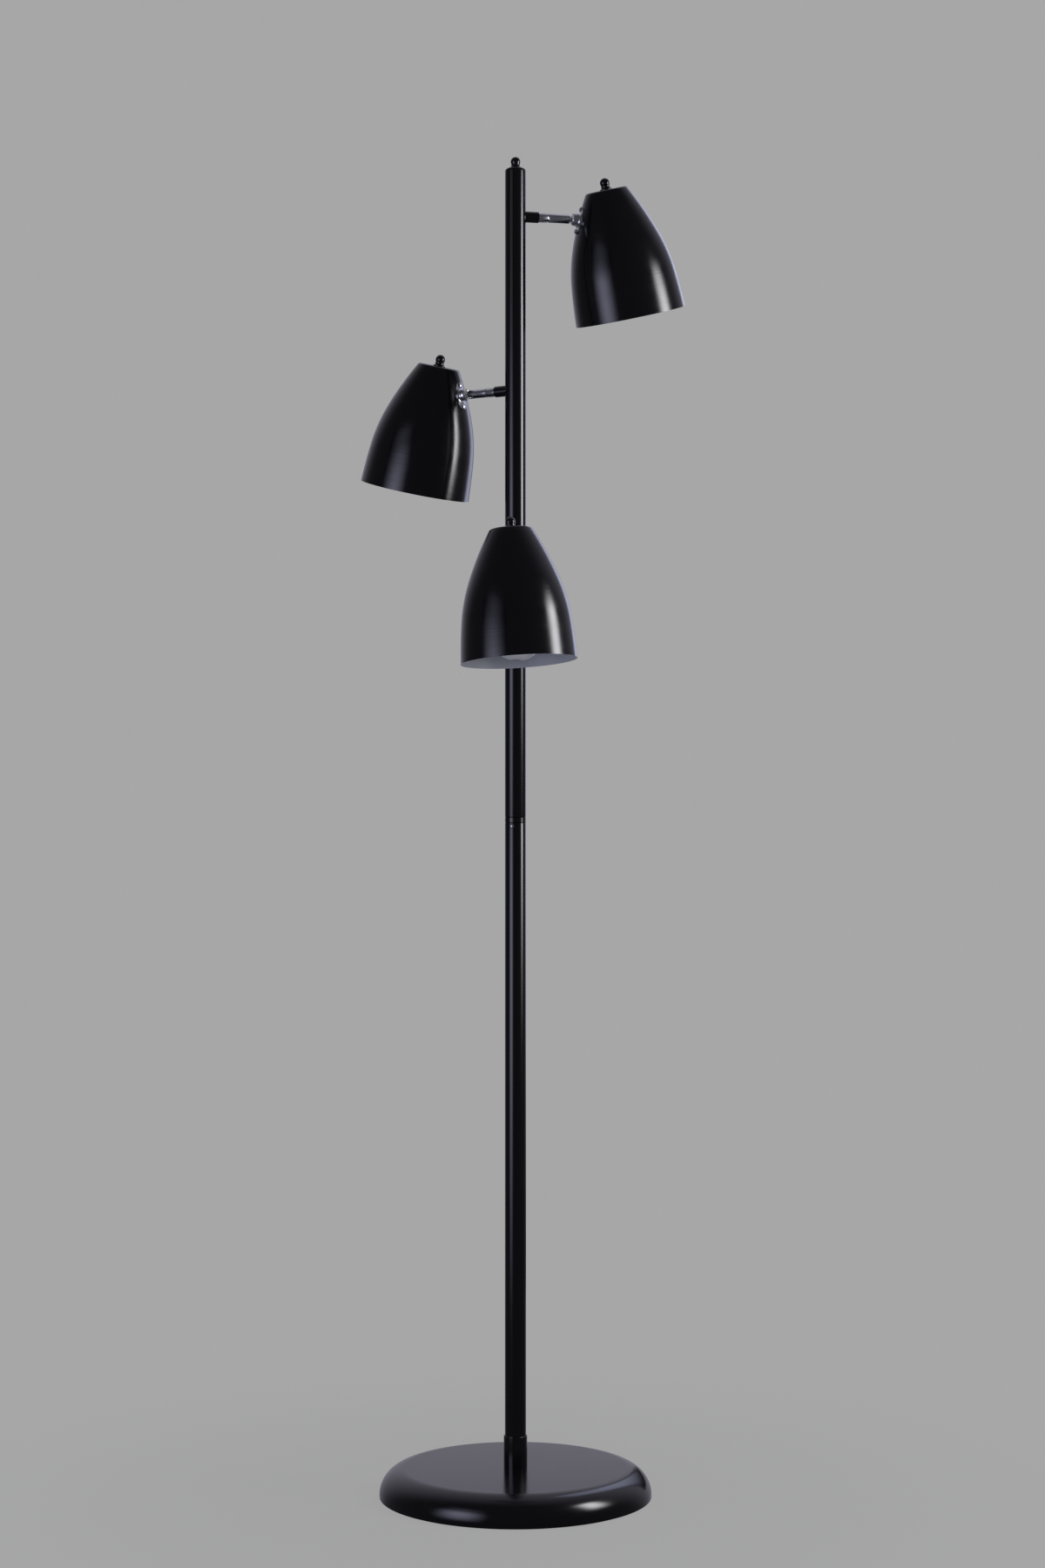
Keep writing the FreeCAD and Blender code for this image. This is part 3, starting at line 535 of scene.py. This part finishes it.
heads = {"upper": (14.4, 14.1, 8.9), "middle": (146.8, 15.2, -2.3), "lower": (268.4, 3.2, 3.7)}
top_arm, spacing, reach, ball_to_axis, ball_below_top = 1334.3, 182.0, 64.8, 39.264, 23.755
arm_places, head_places = {}, {}
for step, (name, (azimuth, tilt, roll_about)) in enumerate(heads.items()):
    level = Matrix.Translation((0, 0, (top_arm - spacing * step) * MM)) @ turn(azimuth, "Z")
    arm_places[name] = level @ turn(90, "Y")
    at_ball = level @ Matrix.Translation((reach * MM, 0, 0)) @ turn(roll_about, "X") @ turn(-tilt, "Y")
    head_places[name] = at_ball @ Matrix.Translation((ball_to_axis * MM, 0, ball_below_top * MM))
    print(name, "shade top", [round(v * 1000, 1) for v in head_places[name].translation])

# %% [markdown]
# ## The bell
#
# The shade's side line is a chain of three arcs that run into each other without a corner: steep at the
# shoulder, nearly straight at the rim. The flat top meets it in a small round. Inside, the same line is
# drawn again one sheet's thickness in, and the rows after the rim get the white lining.


# %% Shade side line
def bell_arcs(stations, top_radius):
    """Centres and radii of tangent arcs, from the side line's lean at given depths."""
    arcs, point = [], (top_radius, 0.0)
    for (d0, a0), (d1, a1) in zip(stations, stations[1:]):
        radius = (d1 - d0) / (math.sin(math.radians(a0)) - math.sin(math.radians(a1)))
        centre = (point[0] - radius * math.cos(math.radians(a0)), point[1] - radius * math.sin(math.radians(a0)))
        arcs.append((centre, radius, a0, a1))
        point = (centre[0] + radius * math.cos(math.radians(a1)), centre[1] + radius * math.sin(math.radians(a1)))
    return arcs


shade_height, shade_wall, corner = 134.5, 0.9, 3.5
bell = bell_arcs([(0, 29.7), (50, 20.7), (95, 5.9), (shade_height, 2.3)], 21.8)


def bell_line(offset, corner_radius, steps=12):
    """The side line from the axis to the rim, moved in by offset."""
    top = -offset
    centre, radius, lean, _ = bell[0]
    reach_in = radius - offset - corner_radius
    drop = top - corner_radius - centre[1]
    meet = math.degrees(math.asin(drop / reach_in))
    round_centre = (centre[0] + reach_in * math.cos(math.radians(meet)), top - corner_radius)
    points = arc(round_centre, corner_radius, 90, meet, 8)
    starts = [meet] + [a for _, _, a, _ in bell[1:]]
    for (c, r, _, last), first in zip(bell, starts):
        points += arc(c, r - offset, first, last, steps)[1:]
    return points


outside = bell_line(0, corner)
inside = bell_line(shade_wall, corner - shade_wall)
outside[-1] = (outside[-1][0], -shade_height)
inside[-1] = (inside[-1][0], -shade_height)
shade_line = [(stud_hole, 0)] + outside + inside[::-1] + [(stud_hole, -shade_wall), (stud_hole, 0)]
rim_row = len(outside)
print("shade rim radius", round(outside[-1][0], 2), "mm, side line points", len(shade_line))

# %% [markdown]
# ## The bulb
#
# The bulb is the common pear shape: a ball 60 mm across, and a flank that is a hollow arc tangent to the
# ball and upright at the neck. Both arcs follow from the few sizes that such a bulb is sold by.

# %% Bulb outline
seat, bulb_long, bulb_round, neck, neck_long, cap_long, glass_wall = 28.5, 105.0, 30.0, 13.6, 4.0, 26.0, 1.0
glass_centre = -seat - bulb_long + bulb_round
neck_end = -seat - cap_long - neck_long
flank = ((neck_end - glass_centre) ** 2 / (bulb_round - neck) - bulb_round - neck) / 2
across = neck + flank
meet = math.degrees(math.acos(across / (bulb_round + flank)))


def bulb_line(inset):
    """The glass from its neck to its tip."""
    flank_part = arc((across, neck_end), flank + inset, 180, 180 + meet, 10)
    return [(neck - inset, -seat - cap_long)] + flank_part + arc((0, glass_centre), bulb_round - inset, meet, -90, 28)[1:]


glass_line = bulb_line(0) + bulb_line(glass_wall)[::-1] + [(neck, -seat - cap_long)]
print("bulb tip", round(-seat - bulb_long, 1), "mm from the shade's top")

# %% [markdown]
# ## The lampholder
#
# The holder is a stepped moulding under the shade's top: a narrow boss round the stud, a cone, the body, a
# plain skirt, and inside it the room that the bulb's cap screws into. Its side line is a list of corners.

# %% Lampholder side line
holder_line = [(stud_hole, -5.2), (7, -5.2), (7, -9.5), (18.9, -16.4), (19.5, -17.2), (19.5, -42.5), (18.7, -42.9),
               (18.7, -51.1), (18.3, -51.5), (13.9, -51.5), (13.9, -26.5), (0, -26.5)]
holder_line += [(0, -15), (stud_hole, -15), (stud_hole, -5.2)]

# %% [markdown]
# ## The arm
#
# An arm is a slim tube with a longer ferrule over it. A groove parts the ferrule's plain ring from the
# rest, and its end is drawn in towards the ball.

# %% Arm side line
arm_start, arm_end, ring, arm_bore, arm_radius, sheath = 2.4, reach - 6.0, 24.5, 3.0, 3.9, 4.75
arm_line = [(arm_bore, arm_start), (4.6, arm_start), (4.6, 3.2), (arm_radius, 3.2), (arm_radius, ring), (sheath, ring)]
arm_line += [(4.95, ring + 0.2), (4.95, ring + 10.2), (sheath, ring + 10.5), (4.4, ring + 10.5)]
arm_line += [(4.4, ring + 11.1), (4.6, ring + 11.1), (sheath, ring + 11.3), (sheath, arm_end - 1.2)]
arm_line += [(4.45, arm_end - 0.6), (3.9, arm_end - 0.15), (3.55, arm_end), (arm_bore, arm_end), (arm_bore, arm_start)]

# %% [markdown]
# ## Dressing the heads
#
# The three heads are alike, so each side line is drawn once and spun three times, each time into its own
# place. The bracket, the ball and the two screws aren't turned about one axis, so they are smoothed copies.

# %% Dress each head
for name, place in head_places.items():
    head, arm = name + "_head", name + "_arm"
    turned(name + "_shade_spun", shade_line, head, [name + "_shade"], spun_black, place,
           steps=144, lining=lining, lining_row=rim_row)
    turned(name + "_cap_nut", nut_line, head, [name + "_finial"], enamel, place, steps=64)
    turned(name + "_bulb_blown", glass_line, head, [name + "_bulb_glass"], glass, place, steps=96)
    turned(name + "_lampholder_moulded", holder_line, head, [name + "_lampholder"], holder_white, place,
           steps=96)
    turned(name + "_arm_turned", arm_line, arm, [name + "_arm_tube"], chrome, arm_places[name], steps=64)
    for piece in ("bracket", "ball_stud", "bracket_screws"):
        welded(name + "_" + piece, chrome)

# %% [markdown]
# ## The pieces that stay as CAD
#
# What is hidden or tiny keeps its CAD mesh and only gets its material. A table ties each kind of finish to
# one.

# %% Materials on CAD nodes
coat_of = {"black_paint": enamel, "shade_paint": spun_black, "chrome": chrome, "zinc_steel": zinc, "cast_iron": iron,
           "eva_pad": foam, "rubber": rubber, "nylon": nylon, "phenolic": holder_white, "brass": brass,
           "bulb_metal": cap_metal, "bulb_glass": glass}
kept = 0
for node, shape in frame["nodes"].items():
    if not shape.hide_render:
        for holder in shape.material_slots:
            holder.material = coat_of[slot_of[node]]
        kept += 1
print("CAD pieces that stay", kept)

# %% [markdown]
# ## Backdrop and light
#
# The picture is a cut-out on even grey, so floor and world both show that grey to the camera. The floor
# keeps a weak shadow close to the base, so that the lamp stands on something, and fades to the plain grey
# further out. What the paint mirrors is another matter. The room is bright behind the lamp and overhead at
# the back, and that is what the base's flat top shows. In front it is dark. How far a direction points to
# the bright side sets the mix.

# %% Room light
picture_grey = "#a7a7a7"
world = bpy.data.worlds.new("grey_studio")
bpy.context.scene.world = world
world.use_nodes = True
tree = world.node_tree
tree.nodes.clear()
seen = add(tree, "ShaderNodeLightPath").outputs
way = add(tree, "ShaderNodeTexCoord").outputs["Generated"]
behind = add(tree, "ShaderNodeVectorMath", {"operation": "DOT_PRODUCT", 1: (0.08, 0.8, 0.6)}, {0: way})
depth = add(tree, "ShaderNodeMapRange", {"From Min": 0.3, "From Max": 0.95, "interpolation_type": "SMOOTHSTEP"},
            {"Value": behind.outputs["Value"]})
dark_front, bright_back, even_light = (0.07, 0.07, 0.08, 1), (0.43, 0.42, 0.50, 1), (0.24, 0.245, 0.27, 1)
mirrored = add(tree, "ShaderNodeMix", {"data_type": "RGBA", 6: dark_front, 7: bright_back}, {0: depth})
soft = add(tree, "ShaderNodeMix", {"data_type": "RGBA", 6: even_light},
           {0: seen["Is Glossy Ray"], 7: mirrored.outputs[2]})
shown = add(tree, "ShaderNodeMix", {"data_type": "RGBA", 7: linear(picture_grey)},
            {0: seen["Is Camera Ray"], 6: soft.outputs[2]})
back = add(tree, "ShaderNodeBackground", {"Strength": 1.0}, {"Color": shown.outputs[2]})
add(tree, "ShaderNodeOutputWorld", links={"Surface": back})

# %% Floor
floor_mesh = bpy.data.meshes.new("floor")
half, under = 14.0, -0.0003
corners = [(-half, -half, under), (half, -half, under), (half, half, under), (-half, half, under)]
floor_mesh.from_pydata(corners, [], [(0, 1, 2, 3)])
paper = bpy.data.materials.new("grey_paper_floor")
paper.use_nodes = True
tree = paper.node_tree
tree.nodes.clear()
place = add(tree, "ShaderNodeTexCoord").outputs["Object"]
where = add(tree, "ShaderNodeVectorMath", {"operation": "LENGTH"}, {0: place})
near = add(tree, "ShaderNodeMapRange", {"From Min": 0.15, "From Max": 0.75, "To Min": 0.12, "To Max": 0.0,
                                        "interpolation_type": "SMOOTHSTEP"}, {"Value": where.outputs["Value"]})
plain = add(tree, "ShaderNodeEmission", {"Color": linear(picture_grey)})
matt = add(tree, "ShaderNodeBsdfDiffuse", {"Color": linear(picture_grey)})
shaded = add(tree, "ShaderNodeMixShader", links={0: near, 1: plain, 2: matt})
add(tree, "ShaderNodeOutputMaterial", links={"Surface": shaded})
floor_mesh.materials.append(paper)
floor = bpy.data.objects.new("floor", floor_mesh)
bpy.context.scene.collection.objects.link(floor)
floor.visible_glossy = False
floor.visible_diffuse = False

# %% [markdown]
# ## Three soft panels
#
# A tall panel on the right draws the bright streaks, a dim wide one on the left that is brightest a little
# below the lamp's middle draws the soft ones, and a cool panel behind on the right draws the pale line down
# every right edge. Real diffusers fade towards their borders, so each panel is a sheet whose glow falls off
# across, up and down.


# %% Soft panels
def soft_panel(name, azimuth, distance, bottom, top, wide, strength, tint, core, rise, fall, low):
    """A glowing sheet that faces the pole. Azimuth 0 is the camera's side, 90 the right. Across, the glow is even
    within the core. Upwards it rises over one stretch and falls to a low share over another, both in metres."""
    a = math.radians(azimuth)
    out, side = Vector((math.sin(a), -math.cos(a), 0)), Vector((math.cos(a), math.sin(a), 0))
    mesh = bpy.data.meshes.new(name)
    mesh.from_pydata([out * distance + side * x + Vector((0, 0, z)) for x, z in
                      ((-wide / 2, bottom), (wide / 2, bottom), (wide / 2, top), (-wide / 2, top))], [], [(0, 1, 2, 3)])
    chart = mesh.uv_layers.new(name="sheet")
    for i, uv in enumerate(((0, 0), (1, 0), (1, 1), (0, 1))):
        chart.data[i].uv = uv
    material = bpy.data.materials.new(name + "_diffuser_cloth")
    material.use_nodes = True
    tree = material.node_tree
    tree.nodes.clear()
    place = add(tree, "ShaderNodeSeparateXYZ", links={0: add(tree, "ShaderNodeUVMap", {"uv_map": "sheet"})})
    middle = add(tree, "ShaderNodeMath", {"operation": "SUBTRACT", 1: 0.5}, {0: place})
    off = add(tree, "ShaderNodeMath", {"operation": "ABSOLUTE"}, {0: middle})
    across = add(tree, "ShaderNodeMapRange", {"From Min": core / 2, "From Max": 0.5, "To Min": 1.0, "To Max": 0.0,
                                              "interpolation_type": "SMOOTHSTEP"}, {"Value": off})
    height = add(tree, "ShaderNodeMapRange", {"To Min": bottom, "To Max": top}, {"Value": place.outputs[1]})
    lower = add(tree, "ShaderNodeMapRange",
                {"From Min": rise[0], "From Max": rise[1], "interpolation_type": "SMOOTHSTEP"}, {"Value": height})
    upper = add(tree, "ShaderNodeMapRange", {"From Min": fall[0], "From Max": fall[1], "To Min": 1.0, "To Max": low,
                                             "interpolation_type": "SMOOTHSTEP"}, {"Value": height})
    both = add(tree, "ShaderNodeMath", {"operation": "MULTIPLY"}, {0: lower, 1: upper})
    level = add(tree, "ShaderNodeMath", {"operation": "MULTIPLY"}, {0: both, 1: across})
    power = add(tree, "ShaderNodeMath", {"operation": "MULTIPLY", 1: strength}, {0: level})
    glow = add(tree, "ShaderNodeEmission", {"Color": linear(tint)}, {"Strength": power})
    add(tree, "ShaderNodeOutputMaterial", links={"Surface": glow})
    mesh.materials.append(material)
    panel = bpy.data.objects.new(name, mesh)
    bpy.context.scene.collection.objects.link(panel)
    panel.visible_camera = False
    panel.visible_shadow = False
    return panel


soft_panel("right_panel", azimuth=77, distance=1.55, bottom=0.5, top=1.9, wide=0.92, strength=14.0,
           tint="#fbfaff", core=0.1, rise=(0.5, 1.1), fall=(1.5, 1.88), low=0.08)
soft_panel("left_panel", azimuth=-48, distance=2.0, bottom=0.0, top=2.0, wide=2.0, strength=3.7,
           tint="#dfe0ff", core=0.0, rise=(-0.3, 0.8), fall=(0.9, 1.6), low=0.16)
soft_panel("rear_panel", azimuth=150, distance=1.05, bottom=0.05, top=2.0, wide=0.5, strength=1.7,
           tint="#dbe0ff", core=0.6, rise=(0.1, 0.85), fall=(1.8, 2.0), low=0.5)

# %% [markdown]
# ## Colours as written
#
# Colours are shown as they are written, without a film look.

# %% Colours as written
bpy.context.scene.view_settings.view_transform = "Standard"
